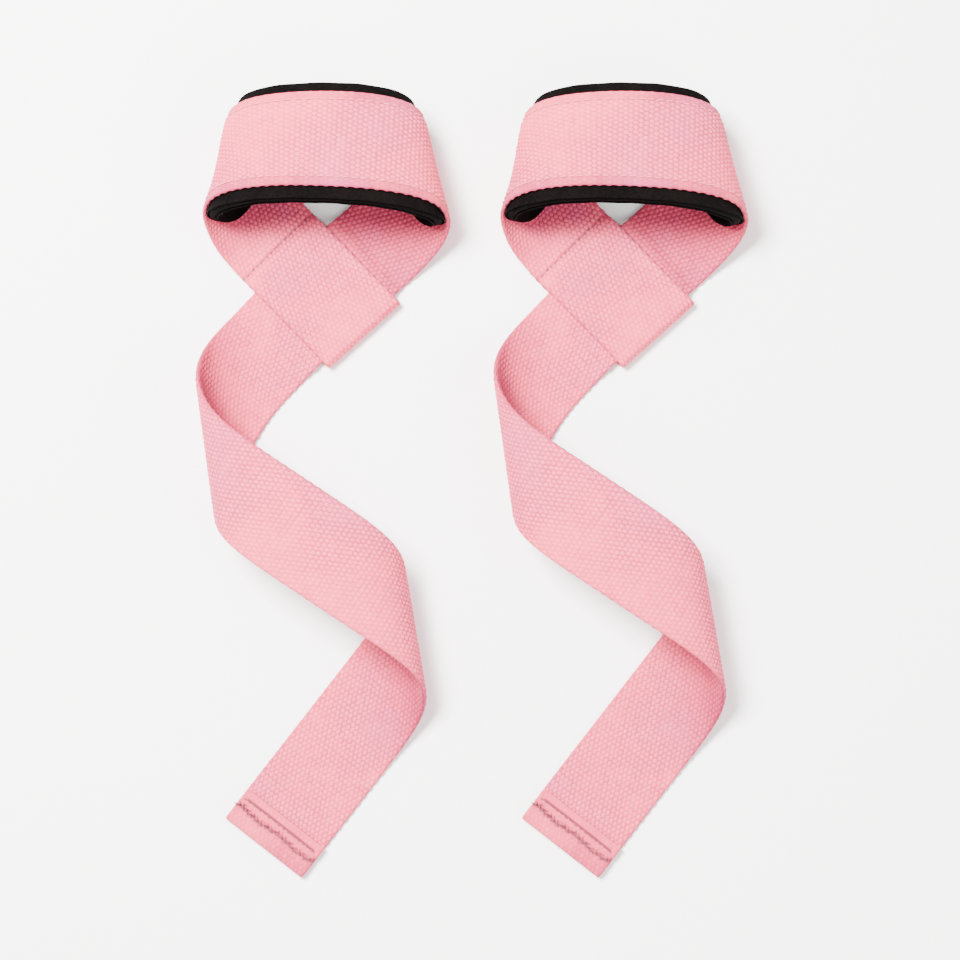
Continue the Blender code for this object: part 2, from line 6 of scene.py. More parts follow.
import bmesh
import bpy
import numpy as np
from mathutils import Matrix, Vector


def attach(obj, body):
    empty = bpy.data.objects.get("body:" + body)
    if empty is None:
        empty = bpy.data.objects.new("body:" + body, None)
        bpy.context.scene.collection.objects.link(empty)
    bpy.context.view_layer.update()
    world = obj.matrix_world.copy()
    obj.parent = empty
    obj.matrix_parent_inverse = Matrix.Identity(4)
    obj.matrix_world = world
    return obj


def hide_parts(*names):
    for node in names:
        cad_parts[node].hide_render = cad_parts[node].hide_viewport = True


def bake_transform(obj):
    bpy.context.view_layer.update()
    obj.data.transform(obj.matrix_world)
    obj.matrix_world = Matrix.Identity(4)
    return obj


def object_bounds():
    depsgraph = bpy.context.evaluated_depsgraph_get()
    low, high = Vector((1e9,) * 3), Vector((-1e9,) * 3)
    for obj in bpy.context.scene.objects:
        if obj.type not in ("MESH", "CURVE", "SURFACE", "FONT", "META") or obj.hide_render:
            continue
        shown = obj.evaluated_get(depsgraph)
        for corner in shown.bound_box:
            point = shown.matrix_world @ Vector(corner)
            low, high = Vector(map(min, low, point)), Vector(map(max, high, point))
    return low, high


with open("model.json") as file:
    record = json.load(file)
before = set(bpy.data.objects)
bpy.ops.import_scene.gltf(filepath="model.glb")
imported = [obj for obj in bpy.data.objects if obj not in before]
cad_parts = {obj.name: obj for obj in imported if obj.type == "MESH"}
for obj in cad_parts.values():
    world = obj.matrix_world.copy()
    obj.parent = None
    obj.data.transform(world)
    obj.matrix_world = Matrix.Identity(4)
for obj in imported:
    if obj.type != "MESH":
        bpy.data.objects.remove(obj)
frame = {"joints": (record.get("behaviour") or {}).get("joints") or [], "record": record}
start_bounds = [list(corner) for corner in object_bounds()]

# ---------------------------------------------------------------- the straps' own dimensions
WEB_WIDTH = 0.038
WEB_THICK = 0.0020
GAP = 0.0003               # clearance between touching pieces
LAYER = WEB_THICK + GAP    # pitch of webbing layers lying on each other
HALF = WEB_WIDTH / 2
STRAP_TURN = math.radians(-2.0)

# the wrist loop lies on a cone whose apex is beyond the loop's upper edge
APEX_REACH = 0.129         # apex to the webbing's centreline at the front
LOOP_HALF_WIDTH = 0.042    # section of the cone at that reach
LOOP_HEIGHT = 0.039
LOOP_FLAT = 0.020          # half of the flat stretch on the table
LOOP_WIDEST = 0.46         # height of the widest place, as a share of the height
LOOP_DOME = 2.3            # superellipse power of the upper half
LIFT_LENGTH = 0.060        # the sewn layers settle to the table over this length
# the resting loop's departures from an exact cone
SIDE_PULL = 0.0022         # the left side sits in by this
SIDE_AT = (-0.049, 0.032)
SIDE_REACH = 0.024
RIM_FROM = 0.035           # the upper edge bows, from here on
RIM_LENGTH = 0.040
RIM_BOW = (0.0020, 0.030, -0.9)
SHOULDER = (0.0028, 0.0008)    # and spreads to the left and right,
SHOULDER_FADE = 0.034          # less and less towards its middle

# the sleeve
SEAM_OFFSET = 0.0070       # stitch line, beyond the tail's edge
FLAP_END = 0.0110          # raw end of the folded flap, beyond the tail's edge
RAMP = 0.0075              # length over which a layer steps up or down
FOLD_CLEAR = (0.0015, 0.0007)  # from the tail's edge to the fold's centre, and its slant

# the free tail
NECK_START = -0.0137       # where the tail's webbing begins, from the sleeve's centre
TURN_1_AT = 0.0215         # first ruling of the left turn, on the centreline
TURN_1_LEAN = math.radians(-33.9)
TURN_ARC = 0.088           # webbing used by each turn
NECK_DROP = (0.001, 0.012)     # off the flap and down to the table: clear of it, length
TURN_2_AT = 0.1256
TURN_2_LEAN = math.radians(-35.7)
TAIL_LENGTH = 0.3149       # from the sleeve's centre to the hem's folded end
TAIL_JOIN = 0.1352         # where the tail's two pieces of webbing meet
HEM_LENGTH = 0.0128        # webbing folded back on top at the end
# slight sideways set of the webbing: (start, length, turn)
SABRE = (
    (-0.012, 0.016, math.radians(2.65)),
    (0.004, 0.030, math.radians(1.2)),
    (0.030, 0.040, math.radians(13.0)),
    (0.060, 0.060, math.radians(-9.25)),
    (0.150, 0.060, math.radians(-0.9)),
)

# the pad: jersey, foam, jersey
PAD_WIDTH = 0.0475
PAD_START = -0.0775        # from the front's centre, along the strap
PAD_END = 0.0735
PAD_CORNERS = ((0.040, 0.0225), (0.036, 0.0210))   # length and depth
PAD_CLEAR = 0.0004         # from the webbing
PAD_ROW = (-0.062, 0.060)  # the rows of stitches end where the pad tapers
JERSEY = 0.0005
FOAM = 0.0034
FOAM_SWELL = 0.0001        # the foam stands into the gaps to its faces

# the sewing
PAD_STITCH_INSET = 0.0035  # from the webbing's edge
PAD_STITCH_PITCH = 0.0034
SLEEVE_STITCH_PITCH = 0.0026
HEM_STITCH_PITCH = 0.0024
HEM_STITCHES = (0.0073, 0.0112)   # from the folded end
HEM_REACH = (0.0188, 0.0175)      # how far each row runs to both sides
THREAD_RADIUS = 0.00030
STITCH_RISE = 0.00028      # of a stitch's middle above its ends
STITCH_CUTS = 9
STITCH_SIDES = 6

# what the sewing does to the webbing's face
GROOVE = 0.00042           # half width of a straight row of stitches
SEAM_DEPTH = 0.00034       # of the sleeve's seam, and of the line at the flap's edge
SEAM_PRESS = 0.0022        # the floats are pressed down this far from the sleeve's seam
PAD_ROW_DEPTH = 0.00014
PAD_BORDER = (0.0046, 0.0012)      # strip pressed flat over the pad's edge, its soft side
PAD_FADE = 0.004           # the pad's marks come in over this length
HEM_GROOVE = (0.00055, 0.00045)    # half width, and what its raggedness adds
HEM_GROOVE_DEPTH = 0.00050
FAINT_LINE = (0.0011, 0.00030)     # from the hem's groove, half width
FAINT_DEPTH = 0.00016
PUCKER = (0.0024, 0.00016)         # half width of the gathers, and their height
CRISP_LINE = (0.0172, 0.00036)     # reach to both sides, half width
FLAP_SHADOW = 0.00030      # half width of the line beside the hem's flap, underneath

# the weave
PICK = 0.00196             # pitch of the weft along the strap
YARN = 0.00095             # pitch of the warp across it
BEAD = (0.00102, 0.00078)  # half length and half width of a warp float
BEAD_RISE = 0.00046
BEAD_ROUND = 0.62          # power of a float's profile
BEAD_WANDER = (0.00012, 0.00008)
BEAD_UNEVEN = 0.14
BODY_HALF = 0.00074        # half thickness between the floats
SELVAGE = 0.0016           # the floats sink towards the edges over this width
CELL = 0.00040             # mesh size
EDGE_POINTS = 6            # around the selvage, between the flat rows


def smooth(x):
    x = np.clip(x, 0.0, 1.0)
    return x * x * x * (x * (6 * x - 15) + 10)


def unit(v):
    return v / np.linalg.norm(v, axis=-1)[..., None]


# ---------------------------------------------------------------- shapes shared with the frame
class WristCone:
    """Straight webbing wrapped once round a cone, which crosses itself on the table."""

    def __init__(self, steps=900):
        widest = LOOP_WIDEST * LOOP_HEIGHT
        t = np.linspace(0, math.pi / 2, steps)
        flat = np.stack([np.linspace(0, LOOP_FLAT, steps), np.zeros(steps)], 1)
        low = np.stack(
            [LOOP_FLAT + (LOOP_HALF_WIDTH - LOOP_FLAT) * np.sin(t), widest * (1 - np.cos(t))], 1
        )
        power = 2 / LOOP_DOME
        high = np.stack(
            [
                LOOP_HALF_WIDTH * np.cos(t) ** power,
                widest + (LOOP_HEIGHT - widest) * np.sin(t) ** power,
            ],
            1,
        )
        half = np.vstack([flat, low[1:], high[1:]])
        section = np.vstack([half, (half * [-1, 1])[::-1][1:]]) / APEX_REACH
        rays = np.column_stack([-section[:, 0], -np.ones(len(section)), section[:, 1]])
        self.rays = unit(rays)
        steps_between = 2 * np.arcsin(np.linalg.norm(np.diff(self.rays, axis=0), axis=1) / 2)
        angle = np.concatenate([[0], np.cumsum(steps_between)])
        self.half_angle = angle[-1] / 2
        self.angle = angle - self.half_angle
        self.crossing = APEX_REACH * math.tan(self.half_angle)
        self.apex_y = APEX_REACH / math.cos(self.half_angle)

    def ray(self, angle):
        return unit(np.stack([np.interp(angle, self.angle, c) for c in self.rays.T], -1))

    def __call__(self, s, w, h):
        """Point of the strip with its centre plane on the table, s from the front."""
        s, w, h = np.broadcast_arrays(*(np.asarray(v, float) for v in (s, w, h)))
        reach = np.hypot(s, APEX_REACH - w)
        wanted = np.arctan2(s, APEX_REACH - w)
        angle = np.clip(wanted, -self.half_angle, self.half_angle)
        small = self.half_angle * 4e-3
        ray = self.ray(angle)
        along = self.ray(angle + small) - self.ray(angle - small)
        along = unit(along - (along * ray).sum(-1)[..., None] * ray)
        inward = np.cross(along, ray)
        beyond = wanted - angle
        turned = ray * np.cos(beyond)[..., None] + along * np.sin(beyond)[..., None]
        point = turned * reach[..., None] + inward * h[..., None]
        return self.settle(point + [0, self.apex_y, WEB_THICK / 2], s)

    def settle(self, point, s):
        """Adds the resting loop's departures from the exact cone."""
        x, y = point[..., 0].copy(), point[..., 1].copy()
        off_sleeve = smooth((s + self.crossing - HALF - FLAP_END) / LIFT_LENGTH * 2)
        from_side = ((x - SIDE_AT[0]) ** 2 + (y - SIDE_AT[1]) ** 2) / SIDE_REACH**2
        point[..., 0] += SIDE_PULL * np.exp(-from_side) * off_sleeve
        bow = RIM_BOW[0] + RIM_BOW[1] * x + RIM_BOW[2] * x**2
        upper = smooth((y - RIM_FROM) / RIM_LENGTH)
        point[..., 1] += bow * upper
        left, right = SHOULDER
        spread = right * smooth(x / SHOULDER_FADE) - left * smooth(-x / SHOULDER_FADE)
        point[..., 0] += upper * spread
        return point

    def lift(self, s):
        """Height of the lower layers that each run lies on."""
        from_sleeve = s + self.crossing
        left = LAYER * (1 - smooth((from_sleeve - HALF - FLAP_END) / LIFT_LENGTH))
        to_sleeve = s - self.crossing
        right = LAYER * smooth((to_sleeve + HALF + GAP + RAMP) / RAMP)
        return np.where(s < 0, left, right)


class Turn:
    """A half turn about slanted rulings, with smooth curvature."""

    def __init__(self, at, lean, arc):
        self.at, self.lean, self.arc = at, lean, arc
        steps = 1200
        self.q = np.linspace(0, arc, steps)
        self.theta = math.pi * smooth(self.q / arc)
        step = self.q[1]
        cos, sin = np.cos(self.theta), np.sin(self.theta)
        self.run = np.concatenate([[0], np.cumsum((cos[1:] + cos[:-1]) / 2 * step)])
        self.rise = np.concatenate([[0], np.cumsum((sin[1:] + sin[:-1]) / 2 * step)])
        self.along = np.array([-math.sin(lean), math.cos(lean)])
        self.across = np.array([math.cos(lean), math.sin(lean)])

    def split(self, x, y):
        """Distance past the first ruling, and distance along the ruling."""
        dx = x - self.at
        return dx * self.across[0] + y * self.across[1], dx * self.along[0] + y * self.along[1]

    def place(self, x, y, h):
        q, r = self.split(x, y)
        inside = np.clip(q, 0, self.arc)
        theta = np.interp(inside, self.q, self.theta)
        over = np.maximum(q - self.arc, 0)
        run = np.interp(inside, self.q, self.run) + over * np.cos(theta) - h * np.sin(theta)
        rise = np.interp(inside, self.q, self.rise) + over * np.sin(theta) + h * np.cos(theta)
        run = np.where(q < 0, q, run)
        return np.stack(
            [
                self.at + r * self.along[0] + run * self.across[0],
                r * self.along[1] + run * self.across[1],
                rise,
            ],
            -1,
        )

    def frame_after(self):
        """Affine map from the flat strip past the turn to the frame before it."""
        base = np.array([self.at, 0, 0]) + np.append(self.across * self.arc * 2, 0)
        step = self.arc / 10
        corners = base + step * np.vstack([np.zeros(3), np.eye(3)])
        placed = self.place(corners[:, 0], corners[:, 1], corners[:, 2])
        turn = (placed[1:] - placed[0]).T / step
        return turn, placed[0] - turn @ base


class Tail:
    """The strip from the sleeve's centre on: two half turns, over and back to the table."""

    def __init__(self, heading):
        self.turns = (
            Turn(TURN_1_AT, TURN_1_LEAN, TURN_ARC),
            Turn(TURN_2_AT, TURN_2_LEAN, TURN_ARC),
        )
        along = np.array([math.cos(heading), math.sin(heading), 0])
        left = np.array([-along[1], along[0], 0])
        step = (np.column_stack([along, left, [0, 0, 1]]), np.array([0, 0, WEB_THICK / 2]))
        self.frames = [step]
        for turn in self.turns:
            rot, shift = turn.frame_after()
            step = (step[0] @ rot, step[0] @ shift + step[1])
            self.frames.append(step)
        self.set_line()

    def set_line(self, steps=1600):
        """The flat centreline, with the webbing's slight sideways set."""
        s = np.linspace(-0.05, TAIL_LENGTH + 0.05, steps)
        turn = sum(angle * smooth((s - at) / length) for at, length, angle in SABRE)
        step = s[1] - s[0]
        cos, sin = np.cos(turn), np.sin(turn)
        x = np.concatenate([[0], np.cumsum((cos[1:] + cos[:-1]) / 2 * step)])
        y = np.concatenate([[0], np.cumsum((sin[1:] + sin[:-1]) / 2 * step)])
        self.line = (s, x - np.interp(0, s, x), y - np.interp(0, s, y), turn)

    def flat(self, s, w):
        """Place on the flat cloth, whose centreline is slightly curved."""
        x, y, turned = (np.interp(s, self.line[0], v) for v in self.line[1:])
        return x - w * np.sin(turned), y + w * np.cos(turned)

    def bend(self, s, w):
        """How much painted shade the inner face gets: how far the strip stands up in a turn, 0
        where it lies flat to 1 upright.
        """
        x, y = self.flat(s, w)
        share = np.zeros_like(x)
        for turn in self.turns:
            inside = np.clip(turn.split(x, y)[0], 0, turn.arc)
            share += np.sin(np.interp(inside, turn.q, turn.theta)) * (s < TAIL_LENGTH - 0.01)
        return np.clip(share * 1.3, 0, 1)

    def __call__(self, s, w, h):
        s, w, h = np.broadcast_arrays(*(np.asarray(v, float) for v in (s, w, h)))
        x, y = self.flat(s, w)
        passed = np.zeros(s.shape, int)
        for number, turn in enumerate(self.turns):
            passed = np.where(turn.split(x, y)[0] > turn.arc, number + 1, passed)
        point = np.zeros(s.shape + (3,))
        for number, (rot, shift) in enumerate(self.frames):
            mine = passed == number
            if number < len(self.turns):
                local = self.turns[number].place(x[mine], y[mine], h[mine])
            else:
                local = np.stack([x[mine], y[mine], h[mine]], -1)
            point[mine] = local @ rot.T + shift
        point[..., 2] += LAYER * (1 - smooth((s - HALF - NECK_DROP[0]) / NECK_DROP[1]))
        return point


def corner_drop(into, corner):
    """How much an elliptical corner takes off a side, at a distance in from the end."""
    length, depth = corner
    share = 1 - np.minimum(into, length) / length
    return depth * (1 - np.sqrt(np.maximum(1 - share**2, 0)))


# ---------------------------------------------------------------- the weave
JITTERS = 96
JITTER = np.random.default_rng(20).uniform(-1, 1, (3, JITTERS, JITTERS))


def floats(t, w, side):
    """Height of the warp floats, 0 in the pits to 1 on a crest, and the float's own tone."""
    best = np.zeros_like(t)
    tone = np.zeros_like(t)
    for odd in (0, 1):
        shift = (odd + side) % 2
        m = np.round((t / PICK - odd) / 2).astype(int)
        n = np.round((w / YARN - shift) / 2).astype(int)
        a, b, c = (JITTER[k][m % JITTERS, (n * 2 + odd) % JITTERS] for k in range(3))
        dt = t - PICK * (2 * m + odd) - a * BEAD_WANDER[0]
        dw = w - YARN * (2 * n + shift) - b * BEAD_WANDER[1]
        r = (dt / BEAD[0]) ** 2 + (dw / BEAD[1]) ** 2
        high = np.maximum(1 - r, 0) ** BEAD_ROUND * (1 + BEAD_UNEVEN * c)
        tone = np.where(high > best, c, tone)
        best = np.maximum(best, high)
    return best, tone


class Ring:
    """Outline of the webbing's section, with outward normals."""

    def __init__(self):
        flat = HALF - BODY_HALF
        self.count = int(2 * flat / CELL)
        arc = np.linspace(math.pi / 2, -math.pi / 2, EDGE_POINTS + 2)[1:-1]
        w = np.linspace(-flat, flat, self.count)
        self.w = np.concatenate([w, flat + 0 * arc, w[::-1], -flat + 0 * arc])
        top, bottom = np.ones(self.count), -np.ones(self.count)
        self.nh = np.concatenate([top, np.sin(arc), bottom, -np.sin(arc)])
        self.nw = np.concatenate([0 * w, np.cos(arc), 0 * w, -np.cos(arc)])
        self.side = np.where(self.nh > 0, 0, 1)
        self.surface = self.w + self.nw * BODY_HALF


RING = Ring()


def mesh_object(name, verts, faces, material):
    """A smooth mesh, from an array of quads or a list of faces of any size."""
    mesh = bpy.data.meshes.new(name)
    verts = np.asarray(verts, np.float32)
    if isinstance(faces, np.ndarray):
        starts = np.arange(0, faces.size, faces.shape[1], dtype=np.int32)
        mesh.vertices.add(len(verts))
        mesh.vertices.foreach_set("co", verts.ravel())
        mesh.loops.add(faces.size)
        mesh.loops.foreach_set("vertex_index", faces.ravel().astype(np.int32))
        mesh.polygons.add(len(faces))
        mesh.polygons.foreach_set("loop_start", starts)
        mesh.update(calc_edges=True)
    else:
        mesh.from_pydata(verts.tolist(), [], faces)
    mesh.polygons.foreach_set("use_smooth", np.full(len(mesh.polygons), True))
    mesh.materials.append(material)
    thing = bpy.data.objects.new(name, mesh)
    bpy.context.collection.objects.link(thing)
    return thing


def attribute(thing, name, values, kind="FLOAT"):
    layer = thing.data.attributes.new(name, kind, "POINT")
    key = "vector" if kind == "FLOAT_VECTOR" else "value"
    layer.data.foreach_set(key, np.asarray(values, np.float32).ravel())


def tube_faces(n, k):
    """Quads of a closed ring of k points swept over n stations, outward if run clockwise."""
    i, j = np.meshgrid(np.arange(n - 1), np.arange(k), indexing="ij")
    nxt = (j + 1) % k
    quads = np.stack([i * k + j, (i + 1) * k + j, (i + 1) * k + nxt, i * k + nxt], -1)
    return quads.reshape(-1, 4)


def close_tube(thing, n, k, cap_faces, sharp):
    """Closes both ends of a tube; cap_faces makes the faces of one end from its ring."""
    bm = bmesh.new()
    bm.from_mesh(thing.data)
    bm.verts.ensure_lookup_table()
    for first in (0, (n - 1) * k):
        ring = [bm.verts[first + j] for j in range(k)]
        for loop in cap_faces(ring):
            bm.faces.new(loop).smooth = not sharp
        for a, b in zip(ring, ring[1:] + ring[:1]):
            bm.edges.get((a, b)).smooth = not sharp
    bmesh.ops.recalc_face_normals(bm, faces=bm.faces)
    bm.to_mesh(thing.data)
    bm.free()


def web_end(ring):
    """Quads from the ring's upper row to its lower row, and a face at each selvage."""
    count = RING.count
    below = count + EDGE_POINTS
    upper = ring[:count]
    lower = ring[below : below + count][::-1]
    quads = [[upper[i], upper[i + 1], lower[i + 1], lower[i]] for i in range(count - 1)]
    right = ring[count - 1 : below + 1]
    left = ring[below + count - 1 :] + ring[:1]
    return quads + [right, left]


def weave_web(name, place, path, marks, bend, slant=None):
    """Webbing along a path of stations, with its floats as real relief.

    marks gives (share of the floats' height, offset, darkness of sewn lines with their painted
    shade), the next argument how much painted shade the inner face gets in turns and the loop, and
    slant a skew of the stations across the webbing.
    """
    base_s, base_h, angle, lift, t = path
    n, k = len(base_s), len(RING.w)
    slant = np.zeros(n) if slant is None else slant
    tt = np.repeat(t[:, None], k, 1)
    ww = np.repeat(RING.surface[None, :], n, 0)
    side = np.repeat(RING.side[None, :], n, 0)
    high, tone = np.zeros((n, k)), np.zeros((n, k))
    for face in (0, 1):
        a, b = floats(tt, ww, face)
        high = np.where(side == face, a, high)
        tone = np.where(side == face, b, tone)
    share, offset, dark = marks(tt, ww, side)
    selvage = smooth((HALF - np.abs(ww)) / SELVAGE)
    edge_wave = 0.5 + 0.5 * np.cos(2 * math.pi * tt / (2 * PICK))
    relief = high * share * (0.35 + 0.65 * selvage)
    grow = BODY_HALF + relief * BEAD_RISE + offset
    grow = grow + (1 - selvage) * (0.00006 + 0.00014 * edge_wave)
    w = RING.w + RING.nw * grow
    h = RING.nh * grow
    s = base_s[:, None] - h * np.sin(angle)[:, None] - slant[:, None] * ww / HALF
    points = place(s, w, base_h[:, None] + h * np.cos(angle)[:, None])
    points[..., 2] += lift[:, None]
    thing = mesh_object(name, points.reshape(-1, 3), tube_faces(n, k), COTTON)
    close_tube(thing, n, k, web_end, sharp=True)
    attribute(thing, "web", np.stack([tt, ww, side * 0.05], -1), "FLOAT_VECTOR")
    attribute(thing, "crest", relief)
    attribute(thing, "tone", tone)
    # darkness of the sewing: dark thread and painted shade in its grooves, painted shadow by the
    # hem's flap
    attribute(thing, "dark", dark)
    # painted shade on the inner face, inside the turns and the loop
    attribute(thing, "inner_painted_shade", bend(tt, ww) * (side == 0))
    return thing


def groove(distance, width):
    """Profile of a sunk line, 1 in its middle."""
    return np.exp(-((distance / width) ** 2))


def no_marks(t, w, side):
    return np.ones_like(t), np.zeros_like(t), np.zeros_like(t)


# ---------------------------------------------------------------- materials
PALE = (0.74, 0.098, 0.170)
DEEP_TONE_AND_PIT_SHADE = (0.30, 0.018, 0.052)    # painted shade between the floats; also the deeper blotches and fibres
SALMON = (0.82, 0.100, 0.145)
MAUVE = (0.52, 0.090, 0.205)
LIGHT = (0.84, 0.165, 0.255)   # the palest floats
INNER_SHADE_TINT = (0.58, 0.42, 0.56)     # painted shade: the colour is multiplied by this on the inner face inside a turn and the loop
STITCH_AND_SHADE_DARK = (0.040, 0.008, 0.017)   # in the rows of stitches: dark thread and painted shade in their grooves and gathers, and painted shadow at the hem flap's edge
SHEEN = (1.0, 0.55, 0.62)
# the knit's loops, and the painted shade between them
JERSEY_BLACK = ((0.0035, 0.0026, 0.0024), (0.0010, 0.0008, 0.0008))
JERSEY_DUST = (0.0045, 0.0030, 0.0028)
FOAM_BLACK = ((0.0030, 0.0024, 0.0022), (0.0010, 0.0008, 0.0008))


def node_material(name, colour, roughness):
    material = bpy.data.materials.new(name)
    material.use_nodes = True
    tree = material.node_tree
    shader = tree.nodes["Principled BSDF"]
    shader.inputs["Base Color"].default_value = (*colour, 1)
    shader.inputs["Roughness"].default_value = roughness
    return material, tree, shader


def link(tree, a, b):
    tree.links.new(a, b)


def add(tree, kind, vector=None, **inputs):
    """A new node with its inputs set, and its vector linked."""
    node = tree.nodes.new(kind)
    for key, value in inputs.items():
        node.inputs[key].default_value = value
    if vector is not None:
        link(tree, vector, node.inputs["Vector"])
    return node


def mix(tree, factor, a, b, blend="MIX"):
    """Mixes two colours; each of the three may be a socket or a value."""
    node = tree.nodes.new("ShaderNodeMix")
    node.data_type = "RGBA"
    node.blend_type = blend
    for socket, value in ((node.inputs[0], factor), (node.inputs[6], a), (node.inputs[7], b)):
        if hasattr(value, "is_output"):
            link(tree, value, socket)
        else:
            socket.default_value = value if isinstance(value, (float, int)) else (*value, 1)
    return node.outputs[2]


def attr(tree, name, output="Fac"):
    node = tree.nodes.new("ShaderNodeAttribute")
    node.attribute_name = name
    return node.outputs[output]


def ramp(tree, value, low, high, to_low=0.0, to_high=1.0):
    """Maps low..high to to_low..to_high, and clamps."""
    node = tree.nodes.new("ShaderNodeMapRange")
    node.inputs["From Min"].default_value = low
    node.inputs["From Max"].default_value = high
    node.inputs["To Min"].default_value = to_low
    node.inputs["To Max"].default_value = to_high
    link(tree, value, node.inputs["Value"])
    return node.outputs["Result"]


def add_bump(tree, shader, height, strength, distance, invert=False):
    """Bump for what is too fine to be in the mesh."""
    bump = add(tree, "ShaderNodeBump", Strength=strength, Distance=distance)
    bump.invert = invert
    link(tree, height, bump.inputs["Height"])
    link(tree, bump.outputs["Normal"], shader.inputs["Normal"])


def cotton():
    """Pink cotton: soft patches of colour, painted shade in the pits, and fibres in the yarn."""
    material, tree, shader = node_material("pink_cotton", PALE, 0.9)
    web = attr(tree, "web", "Vector")
    patch = add(tree, "ShaderNodeTexNoise", web, Scale=26.0, Detail=3.0, Roughness=0.55)
    patch = patch.outputs["Fac"]
    blotch = add(tree, "ShaderNodeTexNoise", web, Scale=150.0, Detail=4.0, Roughness=0.6)
    lay = add(tree, "ShaderNodeMapping", web)
    lay.inputs["Scale"].default_value = (0.45, 1.6, 1.0)
    lay.inputs["Rotation"].default_value = (0, 0, math.radians(24))
    lay = lay.outputs["Vector"]
    fibre = add(tree, "ShaderNodeTexNoise", lay, Scale=5200.0, Detail=3.0, Roughness=0.65)
    fibre = fibre.outputs["Fac"]
    # painted shade: the pits between the floats darker than their crests
    colour = mix(tree, ramp(tree, attr(tree, "crest"), 0.02, 0.62), DEEP_TONE_AND_PIT_SHADE, PALE)
    colour = mix(tree, ramp(tree, patch, 0.42, 0.62, 0.0, 0.55), colour, SALMON)
    colour = mix(tree, ramp(tree, patch, 0.50, 0.32, 0.0, 0.40), colour, MAUVE)
    colour = mix(tree, ramp(tree, blotch.outputs["Fac"], 0.35, 0.70, 0.0, 0.22), colour, DEEP_TONE_AND_PIT_SHADE)
    colour = mix(tree, ramp(tree, attr(tree, "tone"), -1.0, 1.0, 0.0, 0.16), colour, LIGHT)
    colour = mix(tree, ramp(tree, fibre, 0.3, 0.75, 0.0, 0.22), colour, DEEP_TONE_AND_PIT_SHADE)
    # painted shade inside the turns and the loop
    colour = mix(tree, attr(tree, "inner_painted_shade"), colour, INNER_SHADE_TINT, "MULTIPLY")
    # the sewing's dark thread, with painted shade and shadow
    colour = mix(tree, attr(tree, "dark"), colour, STITCH_AND_SHADE_DARK)
    link(tree, colour, shader.inputs["Base Color"])
    add_bump(tree, shader, fibre, 0.5, 0.00012)
    link(tree, ramp(tree, fibre, 0.3, 0.7, 0.82, 0.98), shader.inputs["Roughness"])
    shader.inputs["Specular IOR Level"].default_value = 0.08
    shader.inputs["Sheen Weight"].default_value = 0.10
    shader.inputs["Sheen Roughness"].default_value = 0.45
    shader.inputs["Sheen Tint"].default_value = (*SHEEN, 1)
    return material


def jersey():
    """Black knit: fine loops with painted shade between them, and a little dust."""
    material, tree, shader = node_material("black_jersey", (0.003, 0.002, 0.002), 0.9)
    web = attr(tree, "web", "Vector")
    stretch = add(tree, "ShaderNodeMapping", web)
    stretch.inputs["Scale"].default_value = (0.55, 1.0, 1.0)
    knit = add(tree, "ShaderNodeTexVoronoi", stretch.outputs["Vector"], Scale=1500.0)
    knit = knit.outputs["Distance"]
    cloud = add(tree, "ShaderNodeTexNoise", web, Scale=60.0, Detail=4.0, Roughness=0.6)
    # painted shade: darker between the knit's raised loops
    colour = mix(tree, ramp(tree, knit, 0.0, 0.6), *JERSEY_BLACK)
    dust = ramp(tree, cloud.outputs["Fac"], 0.35, 0.7, 0.0, 0.5)
    colour = mix(tree, dust, colour, JERSEY_DUST)
    link(tree, colour, shader.inputs["Base Color"])
    add_bump(tree, shader, knit, 0.6, 0.00015, invert=True)
    shader.inputs["Specular IOR Level"].default_value = 0.03
    return material


def foam():
    """Cut face of black neoprene, with small cells."""
    material, tree, shader = node_material("black_foam", (0.008, 0.007, 0.007), 0.95)
    web = attr(tree, "web", "Vector")
    cells = add(tree, "ShaderNodeTexVoronoi", web, Scale=3200.0).outputs["Distance"]
    colour = mix(tree, ramp(tree, cells, 0.0, 0.7), *FOAM_BLACK)
    link(tree, colour, shader.inputs["Base Color"])
    add_bump(tree, shader, cells, 0.5, 0.00010)
    shader.inputs["Specular IOR Level"].default_value = 0.03
    return material


def thread(name, light, dark):
    """Sewing thread, with the twist of its plies and painted shade between them."""
    material, tree, shader = node_material(name, light, 0.6)
    turn = add(tree, "ShaderNodeMapping", attr(tree, "web", "Vector"))
    turn.inputs["Rotation"].default_value = (0, 0, math.radians(40))
    twist = turn.outputs["Vector"]
    ply = add(tree, "ShaderNodeTexWave", twist, Scale=1500.0, Distortion=1.0).outputs["Fac"]
    # painted shade: darker in the grooves between the plies
    link(tree, mix(tree, ramp(tree, ply, 0.0, 1.0), dark, light), shader.inputs["Base Color"])
    add_bump(tree, shader, ply, 0.5, 0.00008)
    shader.inputs["Sheen Weight"].default_value = 0.15
    return material


COTTON = cotton()
JERSEY_CLOTH = jersey()
FOAM_CUT = foam()
THREAD = thread("pink_thread", (0.78, 0.16, 0.20), (0.58, 0.08, 0.12))
BLACK_THREAD = thread("black_thread", (0.004, 0.003, 0.003), (0.002, 0.0015, 0.0015))
DARK_THREAD = thread("seam_thread", (0.22, 0.030, 0.055), (0.08, 0.012, 0.026))


# ---------------------------------------------------------------- one strap
def resample(rows, step=CELL):
    """Even stations along the webbing, from rows of (s, height, angle, lift, length)."""
    s, h, angle, lift, t = (np.array(v, float) for v in zip(*rows))
    count = int(round((t[-1] - t[0]) / step))
    fine = np.linspace(t[0], t[-1], count + 1)
    return tuple(np.interp(fine, t, v) for v in (s, h, angle, lift)) + (fine,)


